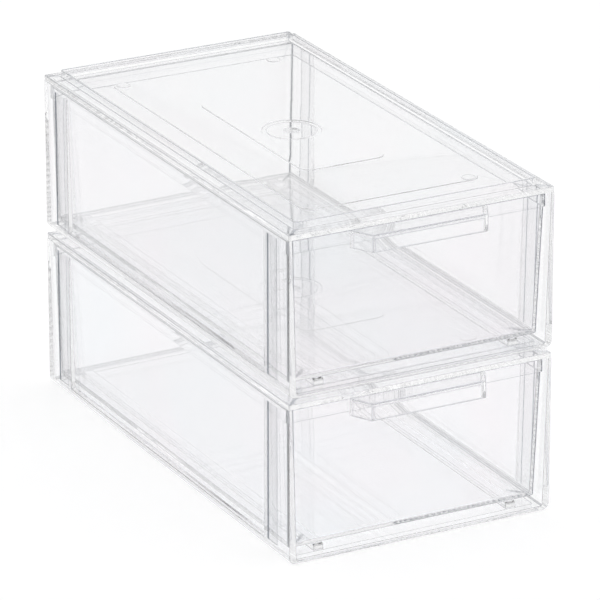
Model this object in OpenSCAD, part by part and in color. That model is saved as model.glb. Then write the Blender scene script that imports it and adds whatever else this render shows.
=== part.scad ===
// Stackable clear shoe drawer boxes: two identical boxes, one standing on the other.
// The front faces -Y and up is +Z. The origin is the middle of the stack's outline, on the
// surface that it stands on. Each box is a housing, a top cover, a drawer and its handle.

/* [Box] */
// Outer width of a box
body_w = 212; // [190:1:240]
// Outer depth of a housing, front edge to back
body_d = 390; // [340:1:420]
// Height of a box, from its base to the top of its outer flange
body_h = 121.5; // [110:0.5:150]
// Clear gap between the outer walls of stacked boxes
stack_gap = 4.5; // [3:0.5:7]

/* [Housing] */
// Thickness of the walls along their top edge
wall_t = 2.4; // [2:0.1:3]
// Thickness of the floor
floor_t = 2.4; // [2:0.1:3]
// How far the side walls' inner faces lean in between top and floor
inner_lean = 3.2; // [1.5:0.1:3.5]
// Radius of the bottom edges along the sides and the back
base_r = 5; // [3:0.5:6]
// Depth of the stacking recess under the floor
recess_depth = 1; // [0.6:0.1:1.4]
// Depth of the corner posts at the front and back ends of each side
post_d = 18; // [12:1:24]
// Depth of the pilasters, posts included
pilaster_d = 38; // [28:1:48]
// Width of the upright bead along each pilaster's inner edge
bead_w = 5; // [3:0.5:8]
// Depth of the flute between a post and its bead
flute_depth = 0.5; // [0.2:0.1:0.7]
// Width of a flute's sloping flanks
flute_slope = 1.5; // [0.5:0.1:3]
// How far a side panel lies behind the posts at the top
panel_step = 0.9; // [0.7:0.1:1.2]
// How much further the side panel leans in towards the bottom
panel_lean = 2.6; // [0.8:0.1:2.8]
// Height of the ledge under each side panel
ledge_h = 8; // [6:0.5:12]
// Width of a floor runner
runner_w = 8; // [4:0.5:10]
// Distance from the side of the box to the middle of a runner
runner_inset = 27.5; // [20:0.5:34]
// Height of the runners above the floor
runner_h = 4.6; // [3:0.1:6]
// Distance from the housing's front edge to the runners
runner_front = 8; // [6:1:20]
// Distance from the back of the housing to the runners
runner_back = 14; // [8:1:20]

/* [Top cover] */
// Height of the outer flange
flange_h = 4; // [3:0.5:6]
// Distance from the outer face to the stacking rim
rim_inset = 8.8; // [7.5:0.1:11]
// Thickness of the stacking rim
rim_t = 2.2; // [1.6:0.1:3]
// Play between the rim and the recess of the box above
rim_clearance = 0.6; // [0.4:0.1:1]
// How far the plate lies below the flange
plate_drop = 1.5; // [1:0.1:1.8]
// Height of the skirt that drops inside the walls
skirt_h = 1.5; // [1:0.1:2.5]
// Thickness of the skirt
skirt_t = 1.4; // [1:0.1:2]
// Play between the skirt and the walls
skirt_gap = 0.2; // [0.1:0.1:0.4]
// Distance from the front edge to the skirt
skirt_front = 14; // [10:1:30]
// Distance of the outer step from the sides of the box
outer_step_side = 35; // [30:1:45]
// Distance of the outer step from the front and back of the box
outer_step_end = 42; // [36:1:60]
// Distance of the inner step from the sides of the box
inner_step_side = 72; // [65:1:80]
// Distance of the inner step from the front and back of the box
inner_step_end = 113; // [100:1:125]
// Height of each step
step_h = 0.4; // [0.2:0.1:0.6]
// Corner radius of the steps
step_r = 8; // [4:1:14]
// Diameter of the raised discs in the outer step's corners
dimple_d = 11; // [6:1:14]
// Diameter of the disc round the gate mark
gate_disc = 44; // [30:1:50]
// Diameter of the dish in the gate mark
gate_dish = 12; // [8:1:16]

/* [Drawer] */
// How far the drawer's front lies behind the housing's front edge
front_recess = 6; // [4:0.5:12]
// Clearance between the drawer's collar and each side wall at the top
side_gap = 0.8; // [0.6:0.1:1.5]
// Clearance between the drawer and the back wall
back_gap = 2.5; // [1.5:0.5:4]
// Clearance under the drawer, above the runners
runner_gap = 0.3; // [0.2:0.1:0.5]
// Clearance between the drawer and the top cover's skirt
top_gap = 0.9; // [0.5:0.1:2]
// Height of the collar round the drawer's mouth
collar_h = 10; // [8:0.5:14]
// How far the collar stands out from the walls below it
collar_out = 0.7; // [0.6:0.1:1.6]
// How far each drawer side leans in between the collar and the floor
drawer_lean = 3.6; // [2:0.1:5]
// How far the drawer's front and back lean in
end_lean = 2.2; // [1:0.1:3]
// Thickness of the drawer's walls and floor
tub_t = 2.2; // [1.8:0.1:3]
// Corner radius of the drawer
tub_r = 1.5; // [1.5:0.5:6]

/* [Handle] */
// Width of the handle where it meets the drawer
handle_back_w = 110; // [80:1:130]
// Width of the handle's front lip
handle_front_w = 92; // [60:1:110]
// How far the handle stands out from the drawer
handle_out = 17; // [14:0.5:22]
// Height of the handle
handle_h = 13.2; // [10:0.1:16]
// Thickness of the handle's walls
handle_t = 2.4; // [2:0.1:3]
// How far the handle's top lies below the drawer's rim
handle_drop = 0.2; // [0:0.1:1]

/* [Hidden] */

$fn = 48;
sliver = 0.01;
housing_tint = [0.84, 0.88, 0.92, 0.40];
cover_tint = [0.90, 0.93, 0.96, 0.40];
drawer_tint = [0.74, 0.82, 0.90, 0.45];
handle_tint = [0.93, 0.95, 0.97, 0.70];

// Stack: the rim of one box stands in the recess of the next
half_w = body_w / 2;
rim_h = stack_gap + recess_depth;
pitch = body_h + stack_gap;
front_y = -(body_d - (handle_out - front_recess)) / 2;

// Housing heights and half widths
floor_top = recess_depth + floor_t;
wall_top = body_h - flange_h;
ring_w = rim_inset - rim_clearance;
inner_top = half_w - wall_t;
inner_low = inner_top - inner_lean;
back_inner_top = body_d - wall_t;
back_inner_low = back_inner_top - inner_lean / 2;
runner_top = floor_top + runner_h;
panel_low = ledge_h;
panel_high = wall_top - flange_h;
bead_start = pilaster_d - bead_w;

// Top cover
plate_top = body_h - plate_drop;
skirt_x = inner_top - skirt_gap;
skirt_back = back_inner_top - skirt_gap;
dimple_x = half_w - outer_step_side - 0.7 * dimple_d;
dimple_end = outer_step_end + dimple_d / 2;

// Drawer
tub_top = wall_top - skirt_h - top_gap;
tub_low = runner_top + runner_gap;
collar_half = inner_top - side_gap;
collar_low = tub_top - collar_h;
tub_d = back_inner_low - back_gap - front_recess;
tub_mid_y = front_recess + tub_d / 2;
tub_h = tub_top - tub_low;
wall_w = 2 * (collar_half - collar_out);
wall_d = tub_d - 2 * collar_out;
foot_w = wall_w - 2 * drawer_lean;
foot_d = wall_d - 2 * end_lean;

// Handle
handle_top = tub_top - handle_drop;

// Flat rectangle with rounded corners, centred on x, its front edge at y = 0
module rounded_rect(w, d, r) {
    translate([-w / 2 + r, 0]) square([w - 2 * r, d]);
    translate([-w / 2, r]) square([w, d - 2 * r]);
    for (x = [-w / 2 + r, w / 2 - r], y = [r, d - r])
        translate([x, y]) circle(r);
}

// Slab of the box's plan drawn in by a margin on all four sides
module inset_slab(margin, h, r) {
    translate([0, margin])
        linear_extrude(h)
            rounded_rect(body_w - 2 * margin, body_d - 2 * margin, r);
}

// Solid that widens from w0 x d0 at z = 0 to w1 x d1 at z = h, centred on x and y
module tapered_block(w0, d0, w1, d1, h, r) {
    hull()
        for (end = [[w0, d0, 0], [w1, d1, h - sliver]])
            translate([0, -end[1] / 2, end[2]])
                linear_extrude(sliver)
                    rounded_rect(end[0], end[1], r, $fn = 32);
}

// Outline of the housing from the front, with rounded bottom edges
module housing_outline() {
    corner = [for (a = [0:15:90]) [half_w - base_r * (1 - sin(a)), base_r * (1 - cos(a))]];
    left = [for (i = [len(corner) - 1:-1:0]) [-corner[i][0], corner[i][1]]];
    polygon(concat(corner, [[half_w, wall_top], [-half_w, wall_top]], left));
}

// Space inside the housing, open at the top and the front. Its sides and its back lean in
module housing_cavity() {
    above = wall_top + 1;
    intersection() {
        translate([0, body_d, 0])
            rotate([90, 0, 0])
                linear_extrude(body_d + 1)
                    polygon([
                        [-inner_low, floor_top], [inner_low, floor_top], [inner_top, wall_top],
                        [inner_top, above], [-inner_top, above], [-inner_top, wall_top]]);
        translate([-half_w, 0, 0])
            rotate([90, 0, 90])
                linear_extrude(body_w)
                    polygon([
                        [-1, floor_top], [back_inner_low, floor_top], [back_inner_top, wall_top],
                        [back_inner_top, above], [-1, above]]);
    }
}

// Wedge cut from the outside of a side wall between end margins, its face leaning in by a lean
module side_cut(side, margin, step, lean) {
    outside = half_w + 1;
    translate([0, body_d - margin, 0])
        rotate([90, 0, 0])
            linear_extrude(body_d - 2 * margin)
                polygon([
                    [side * outside, panel_low - 1],
                    [side * (half_w - step - lean), panel_low],
                    [side * (half_w - step), panel_high],
                    [side * outside, panel_high + 1]]);
}

// Shallow upright groove with sloping flanks, cut into the outside of a side wall
module flute(side, start, end) {
    outside = half_w + 1;
    bottom = half_w - flute_depth;
    translate([0, 0, panel_low])
        linear_extrude(panel_high - panel_low)
            polygon([
                [side * outside, start], [side * half_w, start],
                [side * bottom, start + flute_slope], [side * bottom, end - flute_slope],
                [side * half_w, end], [side * outside, end]]);
}

// Cutter that rounds the bottom edge along the back
module back_edge_cut() {
    translate([-half_w - 1, body_d - base_r, 0])
        rotate([90, 0, 90])
            linear_extrude(body_w + 2)
                difference() {
                    translate([0, -1]) square(base_r + 1);
                    translate([0, base_r]) circle(base_r);
                }
}

// Rib on the floor that carries the drawer, with a bevelled front end
module runner(x) {
    translate([x - runner_w / 2, 0, 0])
        rotate([90, 0, 90])
            linear_extrude(runner_w)
                polygon([
                    [runner_front, floor_top - 0.5],
                    [body_d - runner_back, floor_top - 0.5],
                    [body_d - runner_back, runner_top],
                    [runner_front + 2, runner_top],
                    [runner_front, runner_top - 1.5]]);
}

// Shell of a box, open at the top and the front
module housing() {
    color(housing_tint)
    difference() {
        union() {
            difference() {
                translate([0, body_d, 0])
                    rotate([90, 0, 0])
                        linear_extrude(body_d) housing_outline();
                housing_cavity();
            }
            for (side = [-1, 1]) runner(side * (half_w - runner_inset));
        }
        for (side = [-1, 1]) {
            side_cut(side, pilaster_d, panel_step, panel_lean);
            flute(side, post_d, bead_start);
            flute(side, body_d - bead_start, body_d - post_d);
        }
        back_edge_cut();
        translate([0, 0, -1]) inset_slab(ring_w, recess_depth + 1, 2);
    }
}

// Shallow skirt under the cover that drops inside the side walls and the back wall
module skirt() {
    for (side = [-1, 1])
        translate([side * (skirt_x - skirt_t / 2), (skirt_front + skirt_back) / 2, wall_top])
            cube([skirt_t, skirt_back - skirt_front, 2 * skirt_h], center = true);
    translate([0, skirt_back - skirt_t / 2, wall_top])
        cube([2 * skirt_x, skirt_t, 2 * skirt_h], center = true);
}

// Low raised outline on the plate
module plate_step(side_margin, end_margin, z, h) {
    translate([0, end_margin, z])
        linear_extrude(h)
            rounded_rect(body_w - 2 * side_margin, body_d - 2 * end_margin, step_r);
}

// Moulding gate mark: raised disc with a ring groove and a dished centre
module gate_mark(z) {
    translate([0, body_d / 2, z])
        rotate_extrude()
            polygon([
                [0, -0.5], [gate_dish / 2 - 1, -0.5], [gate_dish / 2, step_h],
                [gate_disc / 2 - 4, step_h], [gate_disc / 2 - 3.4, step_h / 2],
                [gate_disc / 2 - 2.8, step_h], [gate_disc / 2, step_h],
                [gate_disc / 2, -1], [0, -1]]);
}

// Cover of a box: plate, outer flange, stacking rim and skirt
module top_cover() {
    step_top = plate_top + 2 * step_h;
    color(cover_tint)
    difference() {
        union() {
            difference() {
                union() {
                    translate([0, 0, wall_top]) inset_slab(0, flange_h, 1);
                    translate([0, 0, body_h - 1]) inset_slab(rim_inset, rim_h + 1, 2.5);
                }
                translate([0, 0, plate_top]) inset_slab(rim_inset + rim_t, rim_h + 5, 1.5);
            }
            plate_step(outer_step_side, outer_step_end, plate_top - 0.5, step_h + 0.5);
            plate_step(inner_step_side, inner_step_end, plate_top, 2 * step_h);
            for (x = [-1, 1], y = [dimple_end, body_d - dimple_end])
                translate([x * dimple_x, y, plate_top - 0.5])
                    cylinder(d = dimple_d, h = 2 * step_h + 0.5);
            skirt();
        }
        translate([0, body_d / 2, step_top - 0.9]) cylinder(d = gate_disc, h = 2);
    }
    color(cover_tint) gate_mark(step_top - 0.9 + sliver);
}

// Open tub with tapered walls and a thicker collar round its mouth
module drawer() {
    color(drawer_tint)
    difference() {
        union() {
            translate([0, tub_mid_y, tub_low])
                tapered_block(foot_w, foot_d, wall_w, wall_d, tub_h - 1, tub_r);
            translate([0, front_recess, collar_low])
                linear_extrude(collar_h)
                    rounded_rect(2 * collar_half, tub_d, tub_r, $fn = 32);
        }
        translate([0, tub_mid_y, tub_low + tub_t])
            tapered_block(
                foot_w - 2 * tub_t, foot_d - 2 * tub_t,
                wall_w - 2 * tub_t, wall_d - 2 * tub_t,
                tub_h - tub_t + 0.5, tub_r - 1);
    }
}

// Plan of the handle drawn in by a margin. With a margin it reaches past the drawer's front
module handle_plan(margin) {
    polygon([
        [-handle_back_w / 2 + margin, front_recess + margin],
        [-handle_front_w / 2 + margin, front_recess - handle_out + margin],
        [handle_front_w / 2 - margin, front_recess - handle_out + margin],
        [handle_back_w / 2 - margin, front_recess + margin]]);
}

// Ledge to pull by: a top, a front lip and two end caps, open underneath
module handle() {
    color(handle_tint)
    translate([0, 0, handle_top - handle_h])
        difference() {
            linear_extrude(handle_h) handle_plan(0);
            translate([0, 0, -1]) linear_extrude(handle_h - handle_t + 1) handle_plan(handle_t);
        }
}

// Puts a part of one box in its place in the stack
module in_box(level) {
    translate([0, front_y, level * pitch]) children();
}

module lower_housing() in_box(0) housing();
module lower_top_cover() in_box(0) top_cover();
module lower_drawer() in_box(0) drawer();
module lower_handle() in_box(0) handle();
module upper_housing() in_box(1) housing();
module upper_top_cover() in_box(1) top_cover();
module upper_drawer() in_box(1) drawer();
module upper_handle() in_box(1) handle();

lower_housing();
lower_top_cover();
lower_drawer();
lower_handle();
upper_housing();
upper_top_cover();
upper_drawer();
upper_handle();
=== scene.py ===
"""Two stacked clear shoe drawer boxes. Each piece is a closed shell built on its CAD node's box."""

import math

import bmesh
import bpy
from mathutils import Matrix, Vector


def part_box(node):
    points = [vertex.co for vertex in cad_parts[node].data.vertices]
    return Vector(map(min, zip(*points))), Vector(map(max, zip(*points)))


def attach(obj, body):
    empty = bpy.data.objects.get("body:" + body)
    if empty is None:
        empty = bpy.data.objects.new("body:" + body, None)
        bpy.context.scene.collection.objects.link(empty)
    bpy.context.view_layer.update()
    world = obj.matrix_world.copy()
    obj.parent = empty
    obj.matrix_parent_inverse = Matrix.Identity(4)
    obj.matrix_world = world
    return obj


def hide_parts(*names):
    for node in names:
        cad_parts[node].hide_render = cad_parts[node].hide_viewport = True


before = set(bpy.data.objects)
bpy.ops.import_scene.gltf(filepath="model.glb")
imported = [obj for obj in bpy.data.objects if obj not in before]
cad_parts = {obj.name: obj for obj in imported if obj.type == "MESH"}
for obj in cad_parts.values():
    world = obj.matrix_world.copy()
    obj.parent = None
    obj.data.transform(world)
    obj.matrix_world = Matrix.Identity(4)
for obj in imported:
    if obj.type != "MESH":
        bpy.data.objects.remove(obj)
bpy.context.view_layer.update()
MM = 0.001
AIR = 0.03  # mm between pieces that touch, so that each keeps its own surfaces

# ---------------------------------------------------------------- shells from stacked rings

LEAST_R = 0.05  # mm, the smallest corner radius of a ring in plan


def rect(left, right, front, back, r, z):
    """A ring state: a rounded rectangle in plan at a height, all in mm."""
    return (left, right, front, back, r, z)


def even(half, front, back, r, z):
    """A ring state that is symmetric about the middle plane."""
    return rect(-half, half, front, back, r, z)


def grown(state, o, z=None, r=None):
    """The same ring drawn out by o on all four sides."""
    left, right, front, back, radius, height = state
    return (
        left - o,
        right + o,
        front - o,
        back + o,
        max(LEAST_R, radius + o if r is None else r),
        height if z is None else z,
    )


def mix(a, b, t):
    """The ring state at t on the way from a to b."""
    return tuple(x + (y - x) * t for x, y in zip(a, b))


def span(a, b):
    """How far apart two ring states are in section."""
    return math.hypot(abs(a[2] - b[2]), a[5] - b[5])


def filleted(corners, steps=3):
    """The ring states of a section given as (state, fillet) corners, with each corner rounded."""
    out = []
    last = len(corners) - 1
    for i, (state, fillet) in enumerate(corners):
        if i in (0, last) or fillet <= 0:
            out.append(state)
            continue
        before, after = corners[i - 1][0], corners[i + 1][0]
        a = mix(state, before, min(0.45, fillet / max(span(state, before), 1e-6)))
        b = mix(state, after, min(0.45, fillet / max(span(state, after), 1e-6)))
        for k in range(steps + 1):
            t = k / steps
            out.append(mix(mix(a, state, t), mix(state, b, t), t))
    return out


def ring_points(state, n):
    """4 * (n + 1) points round a rounded rectangle, anticlockwise from the front left."""
    left, right, front, back, r, z = state
    r = max(0.02, min(r, (right - left) / 2 - 0.01, (back - front) / 2 - 0.01))
    points = []
    for cx, cy, start in (
        (left + r, front + r, 180),
        (right - r, front + r, 270),
        (right - r, back - r, 0),
        (left + r, back - r, 90),
    ):
        for k in range(n + 1):
            a = math.radians(start + 90 * k / n)
            points.append((cx + r * math.cos(a), cy + r * math.sin(a), z))
    return points


def circle(cx, cy, r, z, count, start=0.0):
    """count points round a circle in plan, anticlockwise from the angle start in degrees."""
    turns = [math.radians(start + 360 * k / count) for k in range(count)]
    return [(cx + r * math.cos(a), cy + r * math.sin(a), z) for a in turns]


def disc_points(cy, r, z, n):
    """4 * (n + 1) points round a circle on the middle plane, in step with ring_points."""
    count = 4 * (n + 1)
    return circle(0, cy, r, z, count, start=180 + 180 / count)


def shell(bm, rings):
    """A closed surface through rings of equal length, with a flat cap on the first and the last."""
    rows = [[bm.verts.new(p) for p in ring] for ring in rings]
    count = len(rows[0])
    for a, b in zip(rows, rows[1:]):
        for k in range(count):
            m = (k + 1) % count
            bm.faces.new((a[k], a[m], b[m], b[k]))
    bm.faces.new(list(reversed(rows[0])))
    bm.faces.new(rows[-1])


def new_mesh(name, fill):
    """A mesh in mm made by fill(bm), with its normals turned out."""
    bm = bmesh.new()
    fill(bm)
    bmesh.ops.recalc_face_normals(bm, faces=bm.faces)
    mesh = bpy.data.meshes.new(name)
    bm.to_mesh(mesh)
    bm.free()
    return mesh


def scratch(name, fill):
    """A passing object made by fill(bm), for joined() to use up."""
    obj = bpy.data.objects.new(name, new_mesh(name, fill))
    bpy.context.scene.collection.objects.link(obj)
    return obj


def joined(body, *cuts):
    """body after each (operation, tool) in turn, as one exact closed mesh. The tools go."""
    for operation, tool in cuts:
        mod = body.modifiers.new("cut", "BOOLEAN")
        mod.operation, mod.object, mod.solver = operation, tool, "EXACT"
    dg = bpy.context.evaluated_depsgraph_get()
    mesh = bpy.data.meshes.new_from_object(body.evaluated_get(dg))
    for obj in (body, *(tool for _, tool in cuts)):
        old = obj.data
        bpy.data.objects.remove(obj)
        bpy.data.meshes.remove(old)
    return mesh


def prism(points, axis, low, high):
    """A fill that extrudes a flat outline of (a, b) points along x, y or z."""

    def place(a, b, along):
        return {"x": (along, a, b), "y": (a, along, b), "z": (a, b, along)}[axis]

    def fill(bm):
        ends = [[bm.verts.new(place(*point, at)) for point in points] for at in (low, high)]
        count = len(points)
        for k in range(count):
            m = (k + 1) % count
            bm.faces.new((ends[0][k], ends[0][m], ends[1][m], ends[1][k]))
        bm.faces.new(list(reversed(ends[0])))
        bm.faces.new(ends[1])

    return fill


def rings_fill(rings):
    """A fill that makes a closed shell through the rings."""
    return lambda bm: shell(bm, rings)


# ---------------------------------------------------------------- sizes, mm in one box's own frame

h_lo, h_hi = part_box("lower_housing")
c_lo, c_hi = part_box("lower_top_cover")
d_lo, d_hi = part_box("lower_drawer")
g_lo, g_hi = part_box("lower_handle")
FRONT, BASE = h_lo.y, h_lo.z  # this frame's y = 0 and z = 0
HALF = h_hi.x / MM
DEPTH = (h_hi.y - FRONT) / MM
WALL_TOP = (h_hi.z - BASE) / MM
COVER_TOP = (c_hi.z - BASE) / MM
SKIRT_LOW = (c_lo.z - BASE) / MM
TUB_HALF = d_hi.x / MM
TUB_FRONT, TUB_BACK = (d_lo.y - FRONT) / MM, (d_hi.y - FRONT) / MM
TUB_LOW, TUB_TOP = (d_lo.z - BASE) / MM, (d_hi.z - BASE) / MM
GRIP_BACK, GRIP_FRONT = (g_hi.y - FRONT) / MM, (g_lo.y - FRONT) / MM
GRIP_HALF = g_hi.x / MM
GRIP_LOW, GRIP_TOP = (g_lo.z - BASE) / MM, (g_hi.z - BASE) / MM
PITCH = (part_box("upper_housing")[0].z - BASE) / MM

WALL, LEAN = 2.4, 3.2  # wall thickness at the top, and how far a side wall leans in below
FLOOR_TOP = 3.4
RECESS, RING = 1.0, 8.2  # depth of the stacking recess, and width of the ring round it
BASE_R = 5.0  # rounding along the bottom of the sides and the back
POST, PILASTER, BEAD = 18.0, 38.0, 5.0  # along a side: post, whole pilaster, bead at its end
FLUTE, FLANK = 0.5, 1.5  # depth of a pilaster's flute, and length of each of its sloping sides
STEP, STEP_LEAN = 0.9, 2.6  # how far a side panel lies in at the top, and how much more below
LEDGE = 8.0  # height of the ledge under the panels
PANEL_TOP = WALL_TOP - 4.0
RUNNER_IN, RUNNER_W = 27.5, 8.0  # a runner's middle plane from the side, and its width
RUNNER_FRONT, RUNNER_BACK, RUNNER_TOP = 8.0, 376.0, 8.0
FLANGE_TOP = WALL_TOP + 4.0
RIM_OUT, RIM_IN = 8.8, 11.0  # the stacking rim's outside and inside at its foot
RIM_DRAFT = 0.2
PLATE = FLANGE_TOP - 1.5
PLATE_STEP = 0.4  # height of each of the plate's two steps
OUTER_STEP, INNER_STEP = (35.2, 42.2), (72.2, 113.2)  # their insets from the sides and the ends
STEP_R, STEP_SLOPE = 7.8, 0.5  # corner radius of a step, and length of its sloping edge
DIMPLE_IN, DIMPLE_END = 42.7, 47.5  # middle of a corner disc, from the side and from the end
SKIRT_T, SKIRT_FRONT = 1.4, 14.0  # the skirt's thickness, and where it starts


def quarter():
    """Angles over a quarter turn, in radians."""
    return [math.radians(a) for a in range(0, 91, 10)]


def housing_mesh():
    """Tray with thick corner posts: block less cavity, panels and stacking recess, plus runners."""
    n = 6
    high = WALL_TOP - AIR
    arc = [(HALF - BASE_R * (1 - math.sin(a)), BASE_R * (1 - math.cos(a))) for a in quarter()]
    outline = arc + [(HALF, high), (-HALF, high)] + [(-x, z) for x, z in reversed(arc)]
    block = scratch("block", prism(outline, "y", 0, DEPTH))

    inner_top, inner_low = HALF - WALL, HALF - WALL - LEAN
    back_top, back_low = DEPTH - WALL, DEPTH - WALL - LEAN / 2
    before = -30  # the cavity is open at the front
    low = even(inner_low, before, back_low, 1.6, FLOOR_TOP)
    top = even(inner_top, before, back_top, 2.4, WALL_TOP)
    above = mix(low, top, 1.02)
    cavity = scratch(
        "cavity",
        rings_fill(
            [
                ring_points(s, n)
                for s in filleted([(grown(low, -5), 0), (low, 1.2), (above, 0)], 4)
            ]
        ),
    )

    def panel(sign):
        """Tool for one side's panel, which leans in towards its bottom."""
        x = HALF - STEP
        shape = [
            (sign * (HALF + 2), LEDGE - 1.4),
            (sign * (x - STEP_LEAN), LEDGE),
            (sign * x, PANEL_TOP),
            (sign * (HALF + 2), PANEL_TOP + 1.4),
        ]
        return scratch("panel", prism(shape, "y", PILASTER, DEPTH - PILASTER))

    def flute(sign, start, end):
        """Tool for a shallow channel with sloping flanks in a pilaster."""
        outside, bottom = sign * (HALF + 1), sign * (HALF - FLUTE)
        shape = [
            (outside, start),
            (sign * HALF, start),
            (bottom, start + FLANK),
            (bottom, end - FLANK),
            (sign * HALF, end),
            (outside, end),
        ]
        return scratch("flute", prism(shape, "z", LEDGE, PANEL_TOP))

    past = 3
    back_tool = [(DEPTH - BASE_R * (1 - math.sin(a)), BASE_R * (1 - math.cos(a))) for a in quarter()]
    back_tool += [(DEPTH + past, BASE_R), (DEPTH + past, -past), (DEPTH - BASE_R, -past)]

    recess_ring = rect(-HALF + RING, HALF - RING, RING, DEPTH - RING, 2, -4)
    recess = scratch(
        "recess",
        rings_fill(
            [
                ring_points(s, n)
                for s in filleted(
                    [
                        (recess_ring, 0),
                        (grown(recess_ring, 0, z=RECESS), 0.3),
                        (grown(recess_ring, -3, z=RECESS), 0),
                    ]
                )
            ]
        ),
    )

    def runner(sign):
        """Strip on the floor with a sloping front end."""
        x, sunk = sign * (HALF - RUNNER_IN), FLOOR_TOP - 1
        shape = [
            (RUNNER_FRONT, sunk),
            (RUNNER_BACK, sunk),
            (RUNNER_BACK, RUNNER_TOP - 0.5),
            (RUNNER_BACK - 0.5, RUNNER_TOP),
            (RUNNER_FRONT + 2, RUNNER_TOP),
            (RUNNER_FRONT, RUNNER_TOP - 1.5),
        ]
        return scratch("runner", prism(shape, "x", x - RUNNER_W / 2, x + RUNNER_W / 2))

    cuts = [("DIFFERENCE", cavity)]
    for sign in (-1, 1):
        cuts.append(("DIFFERENCE", panel(sign)))
        for start in (POST, DEPTH - PILASTER + BEAD):
            cuts.append(("DIFFERENCE", flute(sign, start, start + PILASTER - BEAD - POST)))
    cuts.append(("DIFFERENCE", scratch("back", prism(back_tool, "x", -HALF - past, HALF + past))))
    cuts.append(("DIFFERENCE", recess))
    cuts += [("UNION", runner(sign)) for sign in (-1, 1)]
    return joined(block, *cuts)


GATE_PROFILE = (  # (radius, height over the field) from the disc's edge in to the middle
    (22.3, 0),
    (22.0, -0.1),
    (21.8, -0.4),
    (21.5, -0.5),
    (19.3, -0.5),
    (19.0, -0.6),
    (18.6, -0.75),
    (18.2, -0.6),
    (17.9, -0.5),
    (7.0, -0.5),
    (6.4, -0.4),
    (5.8, -0.55),
    (5.2, -1.2),
    (4.4, -1.5),
    (2.2, -1.5),
    (1.6, -1.2),
    (0.8, -1.1),
)
DIMPLE_PROFILE = (  # (radius, height over the plate) of a corner disc, with a slight hollow
    (5.5, -0.8),
    (5.5, 0.66),
    (5.4, 0.76),
    (5.2, 0.8),
    (4.6, 0.8),
    (4.4, 0.7),
    (4.2, 0.8),
)


def cover_mesh():
    """Plate with outer flange, stacking rim, stepped field, gate mark, corner discs and skirt."""
    n = 10

    def inset(side, end, r, z):
        return rect(-HALF + side, HALF - side, end, DEPTH - end, r, z)

    def square(margin, r, z):
        return inset(margin, margin, r, z)

    bottom, top = WALL_TOP, COVER_TOP - AIR
    corners = [
        (square(20, 4, bottom), 0),
        (square(0, 1.2, bottom), 0.25),
        (square(0, 1.2, FLANGE_TOP), 0.5),
        (square(RIM_OUT, 2.5, FLANGE_TOP), 0.4),
        (square(RIM_OUT + RIM_DRAFT, 2.5, top), 0.5),
        (square(RIM_IN - RIM_DRAFT, 1.8, top), 0.5),
        (square(RIM_IN, 1.8, PLATE), 0.6),
    ]
    z = PLATE
    for side, end in (OUTER_STEP, INNER_STEP):
        foot = inset(side - STEP_SLOPE, end - STEP_SLOPE, STEP_R + STEP_SLOPE, z)
        z += PLATE_STEP
        corners += [(foot, 0.15), (inset(side, end, STEP_R, z), 0.15)]
    corners.append((inset(76, 118, 6, z), 0))
    rings = [ring_points(s, n) for s in filleted(corners)]
    rings += [disc_points(DEPTH / 2, r, z + dz, n) for r, dz in GATE_PROFILE]
    plate = scratch("plate", rings_fill(rings))

    parts = []
    for x in (DIMPLE_IN - HALF, HALF - DIMPLE_IN):
        for y in (DIMPLE_END, DEPTH - DIMPLE_END):
            disc = [circle(x, y, r, PLATE + dz, 32) for r, dz in DIMPLE_PROFILE]
            parts.append(("UNION", scratch("disc", rings_fill(disc))))

    clear = 0.2
    edge, back = HALF - WALL - clear, DEPTH - WALL - clear
    shape = [
        (-edge, SKIRT_FRONT),
        (-edge + SKIRT_T, SKIRT_FRONT),
        (-edge + SKIRT_T, back - SKIRT_T),
        (edge - SKIRT_T, back - SKIRT_T),
        (edge - SKIRT_T, SKIRT_FRONT),
        (edge, SKIRT_FRONT),
        (edge, back),
        (-edge, back),
    ]
    parts.append(("UNION", scratch("skirt", prism(shape, "z", SKIRT_LOW, bottom + 0.9))))
    return joined(plate, *parts)


def drawer_mesh():
    """Tapered tub with a collar round its mouth and a drafted inside."""
    n, t = 8, 2.2
    collar_h, out = 10.0, 0.7
    lean, end_lean, r = 3.6, 2.2, 1.5
    collar = even(TUB_HALF, TUB_FRONT, TUB_BACK, r, TUB_TOP)
    foot = even(
        TUB_HALF - out - lean,
        TUB_FRONT + out + end_lean,
        TUB_BACK - out - end_lean,
        r,
        TUB_LOW,
    )
    mouth = grown(collar, -out, z=TUB_TOP, r=r)
    collar_low = TUB_TOP - collar_h
    reach = (collar_low - TUB_LOW) / (TUB_TOP - TUB_LOW)
    wall_high = mix(foot, mouth, reach)
    inside_low = grown(foot, -t, z=TUB_LOW + t, r=r - 0.5)
    inside_top = grown(mouth, -t, z=TUB_TOP, r=r - 0.5)
    section = filleted(
        [
            (grown(foot, -12, r=2), 0),
            (foot, 1.6),
            (wall_high, 0.25),
            (grown(collar, 0, z=collar_low), 0.4),
            (collar, 0.55),
            (inside_top, 0.55),
            (inside_low, 2.0),
            (grown(inside_low, -12, r=2), 0),
        ],
        4,
    )
    return new_mesh("drawer", rings_fill([ring_points(s, n) for s in section]))


def handle_mesh():
    """Ledge to pull by: top, front lip and slanted end caps, open underneath."""
    back, tip = GRIP_BACK - AIR, GRIP_FRONT
    slant = 9.0
    t = 2.4

    def plan(margin, past):
        """The ledge seen from above, drawn in by margin and reaching past its back."""
        wide, narrow = GRIP_HALF - margin, GRIP_HALF - slant - margin
        y0, y1 = back + past, tip + margin
        return [(-wide, y0), (-narrow, y1), (narrow, y1), (wide, y0)]

    past = 2
    body = scratch("grip", prism(plan(0, 0), "z", GRIP_LOW, GRIP_TOP))
    tool = scratch("hollow", prism(plan(t, past), "z", GRIP_LOW - past, GRIP_TOP - t))
    return joined(body, ("DIFFERENCE", tool))


# ---------------------------------------------------------------- clear plastic

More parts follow.
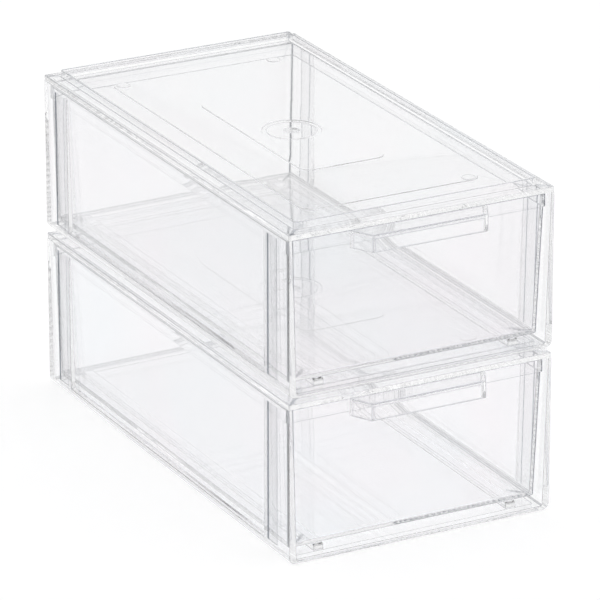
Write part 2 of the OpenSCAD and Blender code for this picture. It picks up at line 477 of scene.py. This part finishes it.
EDGE_SHADE = "painted_edge_shade"  # face attribute: how much painted shade a face takes, a dark tint for the lines that clear edges show where they reflect and bend darker surroundings
NARROW = 0.6  # mm, the most width of a face that rounds an edge


class Nodes:
    """Short forms for building a node material."""

    def __init__(self, material):
        material.use_nodes = True
        self.tree = material.node_tree
        self.tree.nodes.clear()

    def add(self, kind, **inputs):
        node = self.tree.nodes.new(kind)
        for name, value in inputs.items():
            self.put(node, name, value)
        return node

    def put(self, node, name, value):
        """Sets an input, or links it if the value is another node's output."""
        socket = node.inputs[name.replace("_", " ")] if isinstance(name, str) else node.inputs[name]
        if hasattr(value, "is_output"):
            self.tree.links.new(value, socket)
        else:
            socket.default_value = value

    def maths(self, operation, a, b=0.0):
        node = self.add("ShaderNodeMath")
        node.operation = operation
        self.put(node, 0, a)
        self.put(node, 1, b)
        return node.outputs[0]

    def blend(self, factor, a, b):
        node = self.add("ShaderNodeMix")
        node.data_type = "RGBA"
        self.put(node, 0, factor)
        self.put(node, 6, a)
        self.put(node, 7, b)
        return node.outputs[2]

    def ramp(self, factor, stops):
        node = self.add("ShaderNodeValToRGB", Fac=factor)
        elements = node.color_ramp.elements
        while len(elements) < len(stops):
            elements.new(0.5)
        for element, (at, colour) in zip(elements, stops):
            element.position, element.color = at, colour
        return node.outputs[0]


def grey(level):
    return (level, level, level, 1)


def clear_plastic(name, seed, body, cool, warm, edge, wave):
    """Moulded polystyrene: clear, with faint flow waves, stress tints and fine rubbing.

    The faces the mesh marks, chiefly the rounded edges, take the edge colour as painted shade,
    standing in for the darker surroundings that clear edges reflect and bend.
    """
    material = bpy.data.materials.new(name)
    nt = Nodes(material)
    place = nt.add("ShaderNodeTexCoord").outputs["Object"]
    moved = nt.add("ShaderNodeMapping", Vector=place, Location=(seed, seed * 0.7, seed * 0.3))
    at = moved.outputs[0]

    drift = nt.add("ShaderNodeTexNoise", Vector=at, Scale=9.0, Detail=1.5, Roughness=0.45)
    tint = nt.ramp(
        drift.outputs["Fac"],
        [(0.30, warm), (0.47, body), (0.55, body), (0.72, cool)],
    )

    # painted shade: marked faces blend towards the dark edge colour
    rounded = nt.add("ShaderNodeAttribute")
    rounded.attribute_name = EDGE_SHADE
    tint = nt.blend(rounded.outputs["Fac"], tint, edge)

    flow = nt.add("ShaderNodeMapping", Vector=at, Scale=(1.0, 0.35, 1.0))
    waves = nt.add(
        "ShaderNodeTexNoise", Vector=flow.outputs[0], Scale=38.0, Detail=1.0, Roughness=0.4
    )
    rub = nt.add("ShaderNodeMapping", Vector=at, Scale=(1.0, 14.0, 1.0), Rotation=(0, 0, 0.35))
    marks = nt.add(
        "ShaderNodeTexNoise", Vector=rub.outputs[0], Scale=260.0, Detail=2.0, Roughness=0.6
    )
    worn = nt.maths("MULTIPLY", nt.maths("SUBTRACT", marks.outputs["Fac"], 0.62), 0.25)
    smear = nt.add("ShaderNodeTexNoise", Vector=at, Scale=22.0, Detail=3.0, Roughness=0.6)
    rough = nt.maths(
        "ADD",
        nt.maths("MAXIMUM", worn, 0.0),
        nt.maths("MULTIPLY", smear.outputs["Fac"], 0.012),
    )

    bump = nt.add("ShaderNodeBump", Strength=wave, Distance=0.0004, Height=waves.outputs["Fac"])
    shader = nt.add(
        "ShaderNodeBsdfPrincipled",
        Base_Color=tint,
        Roughness=rough,
        IOR=1.57,
        Transmission_Weight=1.0,
        Normal=bump.outputs[0],
    )
    out = nt.add("ShaderNodeOutputMaterial")
    nt.tree.links.new(shader.outputs[0], out.inputs["Surface"])
    return material


# edge is the colour of the painted shade on marked faces, near black on the housing
PLASTIC = {
    "housing": clear_plastic(
        "clear_housing",
        seed=1.0,
        body=(0.970, 0.971, 0.976, 1),
        cool=(0.960, 0.970, 0.979, 1),
        warm=(0.976, 0.964, 0.973, 1),
        edge=(0.055, 0.065, 0.085, 1),
        wave=0.12,
    ),
    "top_cover": clear_plastic(
        "clear_cover",
        seed=4.0,
        body=(0.984, 0.985, 0.987, 1),
        cool=(0.976, 0.985, 0.988, 1),
        warm=(0.990, 0.980, 0.984, 1),
        edge=(0.42, 0.44, 0.475, 1),
        wave=0.10,
    ),
    "drawer": clear_plastic(
        "clear_drawer",
        seed=7.0,
        body=(0.980, 0.981, 0.985, 1),
        cool=(0.971, 0.981, 0.986, 1),
        warm=(0.986, 0.975, 0.982, 1),
        edge=(0.12, 0.135, 0.16, 1),
        wave=0.12,
    ),
    "handle": clear_plastic(
        "clear_handle",
        seed=9.0,
        body=(0.993, 0.994, 0.996, 1),
        cool=(0.988, 0.993, 0.995, 1),
        warm=(0.996, 0.991, 0.993, 1),
        edge=(0.42, 0.44, 0.475, 1),
        wave=0.08,
    ),
}

# ---------------------------------------------------------------- rounding the edges and marking faces for painted shade

BEVEL = {"housing": 1.1, "top_cover": 0.3, "drawer": 0, "handle": 0.8}  # mm of rounding to add
SHARP = math.radians(40)  # edges that turn more than this are rounded, and shade as sharp
WELD = 0.004  # mm, points nearer than this are one


# How much painted shade a narrow face takes, from 0 to 1
OUTER_EDGE, HIDDEN_EDGE, INNER_EDGE = 0.68, 0.13, 0.17
COVER_EDGE, COVER_INSIDE = 0.8, 0.22
TUB_CORNER, TUB_RIM = 1.0, 0.6
GRIP_EDGE = 0.6
# How much painted shade a face of any width takes
FLANK_FACE, PANEL_END, PILASTER_FACE = 1.0, 0.25, 0.26
FOOT_FACE = 0.5


def housing_mark(face):
    """Painted shade: full on the outer edges, low where walls meet inside and where the cover hides
    the edge.
    """
    x, y, z = abs(face.center.x), face.center.y, face.center.z
    rounding = BEVEL["housing"] + 0.2
    inner = x < HALF - rounding and rounding < y < DEPTH - rounding and z > LEDGE
    ring = RING - 1
    under = z < RECESS + 0.5 and x < HALF - ring and ring < y < DEPTH - ring
    if z > WALL_TOP - 1.5:
        return HIDDEN_EDGE
    return INNER_EDGE if inner or under else OUTER_EDGE


def cover_mark(face):
    """Painted shade: weak on the steps and discs inside the rim and on its upright corners, strong
    elsewhere.
    """
    inside = abs(face.center.x) < HALF - RIM_IN - 0.2 and face.center.z < COVER_TOP - 2
    corner = abs(face.normal.x) > 0.2 and abs(face.normal.y) > 0.2
    return COVER_INSIDE if inside or corner else COVER_EDGE


def drawer_mark(face):
    """Painted shade: strong on the upright corners, weaker on the rim and the collar."""
    return TUB_CORNER if abs(face.normal.z) < 0.3 else TUB_RIM


def handle_mark(face):
    """The same painted shade on every edge of the ledge."""
    return GRIP_EDGE


def pilaster_mark(face):
    """Painted shade: full on the flutes' flanks, less on the panels' ends, faint on the pilasters'
    own faces.
    """
    x, y, turn = abs(face.center.x), face.center.y, abs(face.normal.y)
    if HALF - 5 < x < HALF and 10 < y < DEPTH - 10 and turn > 0.2:
        return FLANK_FACE if turn < 0.6 else PANEL_END
    on_panel = PILASTER < y < DEPTH - PILASTER
    return PILASTER_FACE if x > HALF - 1 and face.center.z > LEDGE and not on_panel else 0.0


def foot_mark(face):
    """Painted shade on the rounded edge under the drawer."""
    low = face.center.z < TUB_LOW + 1.6
    return FOOT_FACE if low and 0.2 < -face.normal.z < 0.95 else 0.0


MARK = {
    "housing": housing_mark,
    "top_cover": cover_mark,
    "drawer": drawer_mark,
    "handle": handle_mark,
}
WIDE_MARK = {"housing": pilaster_mark, "drawer": foot_mark}


def softened(part, mesh):
    """The mesh with its hard edges rounded, and its faces marked with how much painted shade the
    material gives them.
    """
    if BEVEL[part]:
        obj = bpy.data.objects.new("soft", mesh)
        bpy.context.scene.collection.objects.link(obj)
        bevel = obj.modifiers.new("edges", "BEVEL")
        bevel.width, bevel.segments = BEVEL[part], 3
        bevel.limit_method, bevel.angle_limit = "ANGLE", SHARP
        bevel.use_clamp_overlap = True
        mesh = joined(obj)
    bm = bmesh.new()
    bm.from_mesh(mesh)
    bmesh.ops.remove_doubles(bm, verts=bm.verts, dist=WELD)
    bmesh.ops.dissolve_degenerate(bm, edges=bm.edges, dist=WELD)
    bm.to_mesh(mesh)
    bm.free()
    marks = mesh.attributes.new(EDGE_SHADE, "FLOAT", "FACE")
    for face, mark in zip(mesh.polygons, marks.data):
        corners = [mesh.vertices[v].co for v in face.vertices]
        around = sum((a - b).length for a, b in zip(corners, corners[1:] + corners[:1]))
        width = 2 * face.area / around
        mark.value = MARK[part](face) if width < NARROW else 0.0
        if part in WIDE_MARK:
            mark.value = max(mark.value, WIDE_MARK[part](face))
    return mesh


def piece(level, part, mesh, lift):
    """Places one box's part in the stack, on its body, in place of its CAD node."""
    node = f"{level}_{part}"
    obj = bpy.data.objects.new(f"{node}_clear", mesh.copy())
    bpy.context.scene.collection.objects.link(obj)
    for v in obj.data.vertices:
        v.co = Vector((v.co.x * MM, v.co.y * MM + FRONT, (v.co.z + lift) * MM + BASE))
    obj.data.materials.clear()
    obj.data.materials.append(PLASTIC[part])
    obj.data.polygons.foreach_set("use_smooth", [True] * len(obj.data.polygons))
    obj.data.set_sharp_from_angle(angle=SHARP)
    normals = obj.modifiers.new("flats", "WEIGHTED_NORMAL")
    normals.keep_sharp, normals.weight = True, 80
    body = "box" if part in ("housing", "top_cover") else "drawer_set"
    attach(obj, f"{level}_{body}")
    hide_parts(node)


MAKERS = {
    "housing": housing_mesh,
    "top_cover": cover_mesh,
    "drawer": drawer_mesh,
    "handle": handle_mesh,
}
MESHES = {part: softened(part, make()) for part, make in MAKERS.items()}
for level, lift in (("lower", 0), ("upper", PITCH)):
    for part, mesh in MESHES.items():
        piece(level, part, mesh, lift)
for mesh in MESHES.values():
    bpy.data.meshes.remove(mesh)

# ---------------------------------------------------------------- floor, light and camera

FLOOR_REACH, FLOOR_DROP = 30000, 0.2  # mm
GLOW = 0.525  # light the floor gives off, as a light table does
DARK_SIDE = (-0.45, -0.84, 0.30)  # the way to the unlit part of the room, behind the camera
BOUNCES = 160  # light runs a long way along an edge of clear plastic
LENS, SENSOR = 313.9, 36  # mm
AZIMUTH, ELEVATION = math.radians(28.16), math.radians(21.27)
TARGET, DISTANCE = Vector((0.0024, -0.0028, 0.1165)), 3.843  # m


def floor_fill(bm):
    r = FLOOR_REACH
    corners = [(-r, -r), (r, -r), (r, r), (-r, r)]
    bm.faces.new([bm.verts.new((x, y, -FLOOR_DROP)) for x, y in corners])


def pale_floor():
    """Faintly clouded white sheet that is lit from below."""
    material = bpy.data.materials.new("pale_floor")
    nt = Nodes(material)
    spot = nt.add("ShaderNodeTexCoord").outputs["Object"]
    cloud = nt.add("ShaderNodeTexNoise", Vector=spot, Scale=0.002, Detail=2.0)
    paper = nt.ramp(cloud.outputs["Fac"], [(0.3, grey(0.59)), (0.7, grey(0.61))])
    matt = nt.add(
        "ShaderNodeBsdfPrincipled",
        Base_Color=paper,
        Roughness=0.9,
        Emission_Color=grey(1.0),
        Emission_Strength=GLOW,
    )
    out = nt.add("ShaderNodeOutputMaterial")
    nt.tree.links.new(matt.outputs[0], out.inputs["Surface"])
    return material


def studio():
    """Even white dome with a dark side, which the plastic picks up as its grey tones."""
    world = bpy.data.worlds.new("studio")
    nt = Nodes(world)
    look = nt.add("ShaderNodeTexCoord").outputs["Generated"]
    height = nt.add("ShaderNodeSeparateXYZ", Vector=look).outputs["Z"]
    dome = nt.ramp(
        height,
        [(0.0, grey(0.80)), (0.10, grey(0.92)), (0.5, grey(0.95)), (1.0, grey(1.0))],
    )
    facing = nt.add("ShaderNodeVectorMath")
    facing.operation = "DOT_PRODUCT"
    nt.put(facing, 0, look)
    nt.put(facing, 1, DARK_SIDE)
    room = nt.ramp(
        facing.outputs["Value"],
        [(0.55, grey(1.0)), (0.75, grey(0.35)), (1.0, grey(0.25))],
    )
    sky = nt.maths("MULTIPLY", dome, room)
    light = nt.add("ShaderNodeBackground", Color=sky, Strength=1.0)
    out = nt.add("ShaderNodeOutputWorld")
    nt.tree.links.new(light.outputs[0], out.inputs["Surface"])
    return world


def photo_camera():
    """The camera at the viewing angle, aimed at the middle of the stack."""
    data = bpy.data.cameras.new("camera")
    data.sensor_width, data.lens = SENSOR, LENS
    data.clip_start, data.clip_end = 0.05, 200
    camera = bpy.data.objects.new("camera", data)
    level = math.cos(ELEVATION)
    ahead = Vector((math.sin(AZIMUTH) * level, math.cos(AZIMUTH) * level, -math.sin(ELEVATION)))
    camera.location = TARGET - ahead * DISTANCE
    camera.rotation_mode = "QUATERNION"
    camera.rotation_quaternion = ahead.to_track_quat("-Z", "Y")
    return camera


scene = bpy.context.scene
floor = bpy.data.objects.new("floor", new_mesh("floor", floor_fill))
floor.scale = (MM, MM, MM)
floor.data.materials.append(pale_floor())
scene.collection.objects.link(floor)
scene.world = studio()

scene.view_settings.view_transform = "Standard"
scene.view_settings.look = "None"
scene.cycles.max_bounces = BOUNCES
scene.cycles.transmission_bounces = BOUNCES
scene.cycles.glossy_bounces = BOUNCES
scene.cycles.transparent_max_bounces = 32
scene.cycles.diffuse_bounces = 10
scene.cycles.blur_glossy = 0.0  # blurring would lose light in stacked clear walls
scene.cycles.use_denoising = True

camera = photo_camera()
scene.collection.objects.link(camera)
scene.camera = camera
